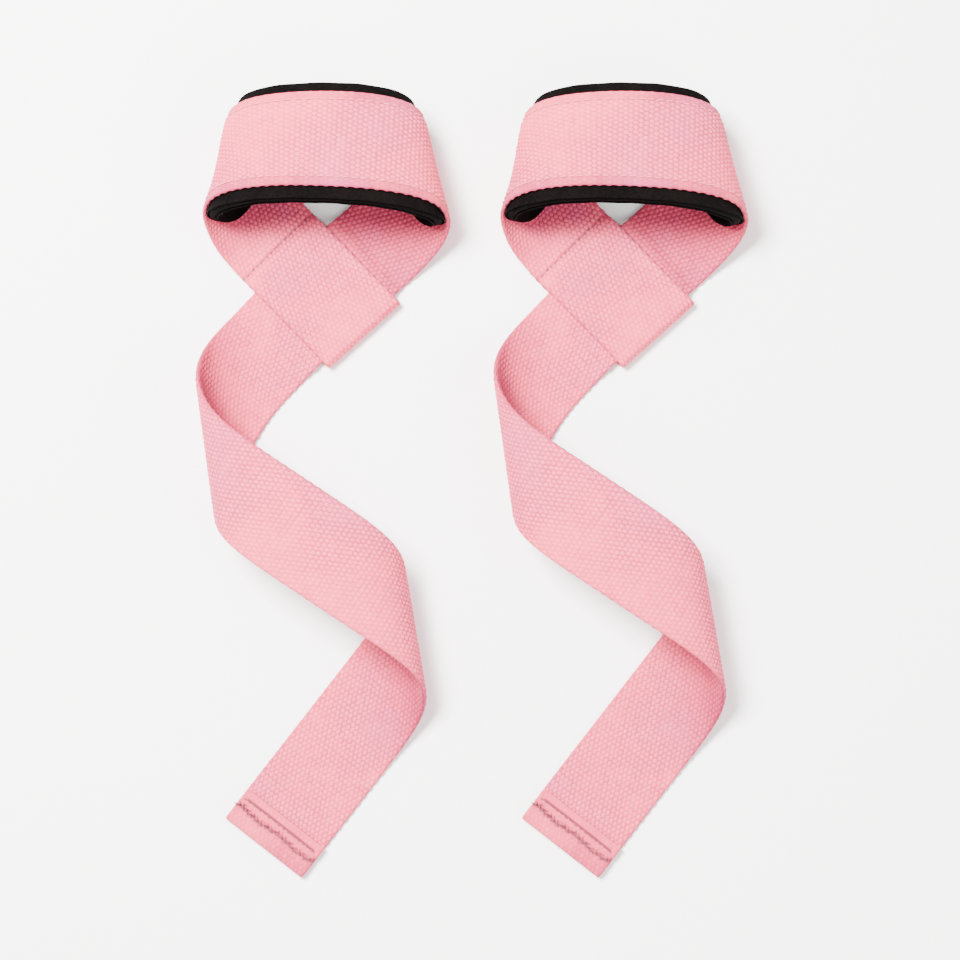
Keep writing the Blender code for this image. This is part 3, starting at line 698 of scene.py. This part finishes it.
def loop_marks(seam_t, front_t):
    """What sewing does to the loop's webbing: the pad's border, and the sleeve's seam, with
    painted shade in the seam's groove.
    """

    def marks(tt, ww, side):
        outside, inside = side == 1, side == 0
        from_front = tt - front_t
        in_pad = smooth((from_front - PAD_START) / PAD_FADE)
        in_pad = in_pad * smooth((PAD_END - from_front) / PAD_FADE) * outside
        border = smooth((np.abs(ww) - (HALF - PAD_BORDER[0])) / PAD_BORDER[1]) * in_pad
        row = groove(np.abs(ww) - (HALF - PAD_STITCH_INSET), GROOVE) * in_pad
        wander = 0.00018 * np.sin(ww * 900) + 0.0001 * np.sin(ww * 2300 + 1)
        across = tt - seam_t - wander
        seam = groove(across, GROOVE) * inside
        bite = 0.55 + 0.45 * np.cos(2 * math.pi * ww / SLEEVE_STITCH_PITCH)
        notch = smooth((np.sin(ww * 410 + 0.8) + np.sin(ww * 1730)) / 2 - 0.25)
        press = smooth(1 - np.abs(across) / SEAM_PRESS) * inside
        share = (1 - 0.72 * border) * (1 - 0.35 * press)
        offset = -0.00006 * border - PAD_ROW_DEPTH * row
        offset = offset - SEAM_DEPTH * seam * (0.55 + 0.45 * bite)
        # painted shade in the seam's groove, with the dark of its thread; a trace in the pad's
        # rows
        dark = 0.03 * row + seam * (0.30 + 0.50 * notch)
        return share, offset, np.clip(dark, 0, 1)

    return marks


def hem_marks(last):
    """What sewing does to the hem, whose fold begins at last, with painted shade in its grooves
    and gathers, and painted shadow at the flap's edge.
    """
    folded_end = last + LAYER / 2 * math.pi / 2

    def marks(tt, ww, side):
        top = side == 1
        pressed = smooth((tt - (last - 0.001)) / 0.002)
        under = smooth((tt - (last - HEM_LENGTH - 0.0006)) / 0.0006)
        share = 1 - 0.70 * np.maximum(pressed, under * 0.5)
        from_end = tt - folded_end
        # the seam that closes the hem, a ragged gathered groove
        wander = 0.00045 * np.sin(ww * 330 + 1) + 0.00022 * np.sin(ww * 1100)
        ragged = 0.5 + 0.5 * np.sin(ww * 2700 + 2.0 * np.sin(ww * 900 + tt * 2500))
        across = from_end - HEM_STITCHES[0] - wander
        row = groove(across, HEM_GROOVE[0] + HEM_GROOVE[1] * ragged) * top
        faint = groove(across - FAINT_LINE[0], FAINT_LINE[1]) * top * ragged
        heavy = 0.45 + 0.55 * smooth((-ww + 0.006) / 0.02)
        pucker = groove(from_end - HEM_STITCHES[0], PUCKER[0]) * top
        # the crisp line at the flap's edge: a sunk line, darkened with the edge's painted shadow
        inside = smooth((CRISP_LINE[0] - np.abs(ww)) / 0.0010)
        bowed = HEM_STITCHES[1] + 0.00025 * np.cos(ww / HALF * 1.5)
        line = groove(from_end - bowed, CRISP_LINE[1]) * top * inside
        # painted shadow of the flap's raw edge, on the webbing under it
        flap_edge_shadow = groove(tt - (last - HEM_LENGTH), FLAP_SHADOW) * (1 - top)
        offset = pucker * PUCKER[1] * np.sin(ww * 1500 + 3 * np.sin(ww * 400))
        offset = offset - HEM_GROOVE_DEPTH * row - FAINT_DEPTH * faint - SEAM_DEPTH * line
        # dark thread in the groove with painted shade in it, in the faint line and in the gathers;
        # painted shadow at the crisp line and the flap's edge
        dark = row * (0.55 + 0.45 * heavy * ragged) + 0.45 * faint
        dark = dark + 0.16 * pucker * ragged + 0.95 * line + 0.45 * flap_edge_shadow * inside
        return share, offset, np.clip(dark, 0, 1)

    return marks


class Strap:
    """One strap: its places in the frame, and its pieces."""

    def __init__(self, prefix):
        self.prefix = prefix
        mounts = {mount["name"]: mount for mount in frame["record"]["mounts"]}
        self.centre = np.array(mounts[f"{prefix}_underside"]["pos_m"])
        cos, sin = math.cos(STRAP_TURN), math.sin(STRAP_TURN)
        self.turn = np.array([[cos, -sin, 0], [sin, cos, 0], [0, 0, 1]])
        self.cone = WristCone()
        self.tail = Tail(math.pi + self.cone.half_angle)
        joints = {joint["name"]: joint for joint in frame["joints"]}
        turns = (f"{prefix}_first_turn", f"{prefix}_second_turn")
        self.hinges = [Vector(joints[name]["pos_m"]) for name in turns]

    def world(self, points):
        return points @ self.turn.T + self.centre

    def on_cone(self, s, w, h):
        return self.world(self.cone(s, w, h))

    def on_tail(self, s, w, h):
        return self.world(self.tail(s, w, h))

    # webbing
    def loop_path(self):
        """From the folded flap's raw end, over the sleeve, to the end of the wrist loop.

        Up to the seam the layers' height is in the rows, and after it in the lift.
        """
        cross = self.cone.crossing
        far, fold = HALF + FLAP_END, -(HALF + FOLD_CLEAR[0])
        rows = [(x - cross, 0.0, math.pi, 0.0, far - x) for x in np.linspace(far, fold, 60)]
        t = far - fold
        for a in np.linspace(0, math.pi, 40)[1:]:
            x = fold - LAYER * math.sin(a)
            z = LAYER * (1 - math.cos(a))
            rows.append((x - cross, z, math.pi - a, 0.0, t + LAYER * a))
        t += LAYER * math.pi
        step = HALF + GAP
        for x in np.linspace(fold, step, 50)[1:]:
            rows.append((x - cross, 2 * LAYER, 0.0, 0.0, t + (x - fold)))
        t += step - fold
        for x in np.linspace(step, step + RAMP, 30)[1:]:
            z = 2 * LAYER - LAYER * float(smooth((x - step) / RAMP))
            rows.append((x - cross, z, 0.0, 0.0, t + (x - step)))
        t += RAMP
        begin = step + RAMP - cross
        end = cross + NECK_START - GAP
        for s in np.linspace(begin, end, 900)[1:]:
            lift = float(self.cone.lift(np.array(s)))
            rows.append((s, 0.0, 0.0, lift, t + (s - begin)))
        return rows

    def build_loop(self):
        path = resample(self.loop_path())
        s, _, angle, _, t = path
        cross = self.cone.crossing
        upper = angle < 0.1
        seam_t = float(np.interp(HALF + SEAM_OFFSET - cross, s[upper], t[upper]))
        front_t = float(np.interp(0.0, s[upper], t[upper]))

        # painted shade on the loop's inner face, from the seam on
        def bend(tt, ww):
            return 0.55 * smooth((tt - seam_t) / 0.020)

        # the fold lies at a slight slant, and so do the layers near it
        reach = HALF + FLAP_END + HALF + FOLD_CLEAR[0]
        from_fold = s + cross + HALF + FOLD_CLEAR[0]
        slant = FOLD_CLEAR[1] * np.clip(1 - from_fold / reach, 0, 1) * (t < front_t - cross)
        name = f"{self.prefix}_wrist_webbing"
        web = weave_web(name, self.on_cone, path, loop_marks(seam_t, front_t), bend, slant)
        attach(web, f"{self.prefix}_loop")
        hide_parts(f"{self.prefix}_wrist_band", f"{self.prefix}_sleeve")

    def build_tail(self):
        # the two pieces meet where the first turn has come right over, on a whole pick
        join = PICK * round(TAIL_JOIN / PICK) + PICK / 2
        last = TAIL_LENGTH - LAYER / 2 - WEB_THICK / 2
        radius = LAYER / 2
        first = [(s, 0.0, 0.0, 0.0, s) for s in np.linspace(NECK_START, join, 400)]
        second = [(s, 0.0, 0.0, 0.0, s) for s in np.linspace(join, last, 500)]
        for a in np.linspace(0, math.pi, 24)[1:]:
            x, z = last + radius * math.sin(a), radius * (1 - math.cos(a))
            second.append((x, z, a, 0.0, last + radius * a))
        turn_end = last + radius * math.pi
        for x in np.linspace(0, HEM_LENGTH, 30)[1:]:
            second.append((last - x, LAYER, math.pi, 0.0, turn_end + x))
        prefix = self.prefix
        one, two = (
            weave_web(f"{prefix}_{name}", self.on_tail, resample(rows), marks, self.tail.bend)
            for name, rows, marks in (
                ("tail_webbing_1", first, no_marks),
                ("tail_webbing_2", second, hem_marks(last)),
            )
        )
        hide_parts(f"{prefix}_tail_neck")
        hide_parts(f"{prefix}_tail_front", f"{prefix}_tail_end")
        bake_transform(one)
        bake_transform(two)

    # pad
    def slab(self, name, material, low, high, rounding):
        """A layer of the pad with soft edges, between two heights above the webbing's middle."""
        first, last = PAD_CORNERS
        s = np.linspace(PAD_START, PAD_END, int((PAD_END - PAD_START) / 0.0007))
        drop = corner_drop(s - PAD_START, first) + corner_drop(PAD_END - s, last)
        half = (high - low) / 2
        middle = (high + low) / 2
        across = np.linspace(-1, 1, 60)
        arc = np.linspace(math.pi / 2, -math.pi / 2, 9)[1:-1]
        ones = np.ones(len(arc))
        x = np.concatenate([across, ones, across[::-1], -ones])
        out = np.concatenate([0 * across, np.cos(arc), 0 * across, -np.cos(arc)])
        up = np.concatenate([1 + 0 * across, np.sin(arc), -1 + 0 * across, -np.sin(arc)])
        k, n = len(x), len(s)
        radius = min(half, rounding)
        w = x[None, :] * (PAD_WIDTH / 2 - drop[:, None] - radius) + out[None, :] * radius
        wobble = 0.00010 * np.sin(s[:, None] * 420 + x[None, :] * 3) * np.abs(out)[None, :]
        h = middle + up[None, :] * half + 0 * s[:, None]
        ss = np.repeat(s[:, None], k, 1)
        points = self.on_cone(ss, w + wobble * x[None, :], h)
        points[..., 2] += self.cone.lift(ss)
        thing = mesh_object(name, points.reshape(-1, 3), tube_faces(n, k), material)
        close_tube(thing, n, k, lambda ring: [ring], sharp=False)
        attribute(thing, "web", np.stack([ss, w, h], -1), "FLOAT_VECTOR")
        return thing

    def build_pad(self):
        level = WEB_THICK / 2 + PAD_CLEAR
        layers = (
            ("pad_backing", JERSEY_CLOTH, JERSEY, 0.0, 0.0004, "jersey"),
            ("pad_foam", FOAM_CUT, FOAM, FOAM_SWELL, 0.0014, "neoprene_foam"),
            ("pad_lining", JERSEY_CLOTH, JERSEY, 0.0, 0.0004, "jersey"),
        )
        for node, material, thick, swell, rounding, slot in layers:
            low, high = level - swell, level + thick + swell
            thing = self.slab(f"{self.prefix}_{node}_soft", material, low, high, rounding)
            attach(thing, f"{self.prefix}_loop")
            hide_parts(f"{self.prefix}_{node}")
            level += thick + GAP
        self.pad_face = level - GAP

    # sewing
    def stitches(self, node, material, body, place, starts, along, length, sink, up=1, spread=0.0):
        """Separate stitches, each a short bowed thread whose ends dive into the cloth.

        along is the row's direction on the cloth, and up says which face they lie on.
        """
        verts, faces = [], []
        for number, (s0, w0) in enumerate(starts):
            a, b = JITTER[0][number % JITTERS, 5], JITTER[1][number % JITTERS, 9]
            size = THREAD_RADIUS * (1 + 0.12 * a)
            base = len(verts)
            for u in np.linspace(-0.5, 0.5, STITCH_CUTS):
                bow = np.cos(u * math.pi)
                arch = bow**0.6 * STITCH_RISE - sink
                taper = 0.35 + 0.65 * bow**0.5
                for j in range(STITCH_SIDES):
                    q = 2 * math.pi * j / STITCH_SIDES
                    side = math.cos(q) * size * taper + b * spread
                    height = (arch + math.sin(q) * size * 0.8 * taper) * up
                    ds = u * length * along[0] - side * along[1]
                    dw = u * length * along[1] + side * along[0]
                    verts.append((s0 + ds, w0 + dw, height))
            ends = [[base + i * STITCH_SIDES + j for j in range(STITCH_SIDES)]
                    for i in range(STITCH_CUTS)]
            for near, far in zip(ends, ends[1:]):
                for j in range(STITCH_SIDES):
                    k = (j + 1) % STITCH_SIDES
                    faces.append([near[j], near[k], far[k], far[j]])
            faces.append(ends[0][::-1])
            faces.append(ends[-1])
        flat = np.array(verts)
        points = place(flat[:, 0], flat[:, 1], flat[:, 2])
        thing = mesh_object(f"{self.prefix}_{node}_thread", points, faces, material)
        attribute(thing, "web", flat, "FLOAT_VECTOR")
        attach(thing, f"{self.prefix}_{body}")
        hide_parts(f"{self.prefix}_{node}")

    def build_pad_rows(self):
        """Both rows through the pad, on the webbing's side and on the wrist's side."""
        rows = (("upper", HALF - PAD_STITCH_INSET), ("lower", -HALF + PAD_STITCH_INSET))
        faces = (
            ("pad_stitch", THREAD, -0.00092, -1),
            ("pad_bobbin", BLACK_THREAD, self.pad_face, 1),
        )
        s = np.arange(*PAD_ROW, PAD_STITCH_PITCH)
        for side, w in rows:
            starts = [(x, w + 0.00012 * JITTER[2][i % JITTERS, 3]) for i, x in enumerate(s)]
            for node, colour, level, up in faces:

                def place(a, b, c, level=level):
                    points = self.on_cone(a, b, level + c)
                    points[..., 2] += self.cone.lift(np.asarray(a))
                    return points

                self.stitches(
                    f"{node}_{side}", colour, "loop", place, starts, (1, 0),
                    PAD_STITCH_PITCH * 0.8, 0.00016, up,
                )

    def build_cross_rows(self):
        """The row that closes the sleeve, and the two across the hem."""
        seam = HALF + SEAM_OFFSET - self.cone.crossing
        rise = LAYER * (1 - float(smooth((SEAM_OFFSET - GAP) / RAMP)))

        def on_seam(a, b, c):
            return self.on_cone(a, b, LAYER + rise + 0.00078 + c)

        def on_hem(a, b, c):
            return self.on_tail(a, b, LAYER + 0.00084 + c)

        across = np.arange(-HALF + 0.0025, HALF - 0.002, SLEEVE_STITCH_PITCH)
        starts = [(seam + 0.0002 * JITTER[0][i, 1], w) for i, w in enumerate(across)]
        self.stitches(
            "sleeve_stitch", DARK_THREAD, "loop", on_seam, starts, (0, 1), 0.0019, 0.00026
        )
        for number, (distance, reach) in enumerate(zip(HEM_STITCHES, HEM_REACH)):
            across = np.arange(-reach, reach, HEM_STITCH_PITCH)
            wander = 0.00035 * np.sin(across * 330 + 1) * (number == 0)
            starts = list(zip(TAIL_LENGTH - distance - wander, across))
            self.stitches(
                f"hem_stitch_{number + 1}", DARK_THREAD, "end", on_hem, starts, (0, 1),
                0.0026, 0.00030, spread=0.0001,
            )

    def build(self):
        self.build_loop()
        self.build_tail()
        self.build_pad()
        self.build_pad_rows()
        self.build_cross_rows()


for side in ("left", "right"):
    Strap(side).build()


# ---------------------------------------------------------------- table, light and camera
TABLE_HALF = 3.0
TABLE_TOP = -0.0002        # just clear of the webbing's floats
WHITE = (0.96, 0.96, 0.955)
DAYLIGHT = (1.0, 0.985, 0.98)


def build_stage():
    mesh = bpy.data.meshes.new("table")
    corners = ((-1, -1), (1, -1), (1, 1), (-1, 1))
    verts = [(x * TABLE_HALF, y * TABLE_HALF, TABLE_TOP) for x, y in corners]
    mesh.from_pydata(verts, [], [(0, 1, 2, 3)])
    material, _, shader = node_material("table_white", WHITE, 0.9)
    shader.inputs["Specular IOR Level"].default_value = 0.1
    mesh.materials.append(material)
    table = bpy.data.objects.new("table", mesh)
    bpy.context.collection.objects.link(table)


def aim(thing, target):
    direction = Vector(target) - thing.location
    thing.rotation_euler = direction.to_track_quat("-Z", "Y").to_euler()


def area_light(name, location, target, size, power, colour):
    light = bpy.data.lights.new(name, "AREA")
    light.size = size
    light.energy = power
    light.color = colour
    thing = bpy.data.objects.new(name, light)
    thing.location = location
    bpy.context.collection.objects.link(thing)
    aim(thing, target)


def build_light():
    world = bpy.data.worlds.new("studio")
    bpy.context.scene.world = world
    world.use_nodes = True
    background = world.node_tree.nodes["Background"]
    background.inputs["Color"].default_value = (*DAYLIGHT, 1)
    background.inputs["Strength"].default_value = 1.55
    middle = (0, 0, 0.01)
    area_light("key", (-0.42, 0.36, 1.1), middle, 0.42, 98.0, (1.0, 0.98, 0.97))
    area_light("fill", (0.80, -0.55, 0.85), middle, 0.8, 14.0, (0.98, 0.98, 1.0))


CAMERA_ELEVATION = math.radians(87.0)
CAMERA_DISTANCE = 1.2
LOOK_PAST = Vector((0.003, 0.0015, 0))   # the pair lies this much left of and below the middle
PIXELS_PER_METRE = 2520.0
VIEW_PIXELS = 960.0
SENSOR = 36.0


def build_camera():
    low, high = (Vector(corner) for corner in start_bounds)
    target = (low + high) / 2 + LOOK_PAST
    target.z = 0.0
    camera = bpy.data.cameras.new("camera")
    camera.sensor_width = SENSOR
    camera.lens = SENSOR * PIXELS_PER_METRE * CAMERA_DISTANCE / VIEW_PIXELS
    camera.clip_end = 20
    thing = bpy.data.objects.new("camera", camera)
    back = Vector((0, -math.cos(CAMERA_ELEVATION), math.sin(CAMERA_ELEVATION)))
    thing.location = target + back * CAMERA_DISTANCE
    bpy.context.collection.objects.link(thing)
    aim(thing, target)
    bpy.context.scene.camera = thing


build_stage()
build_light()
build_camera()
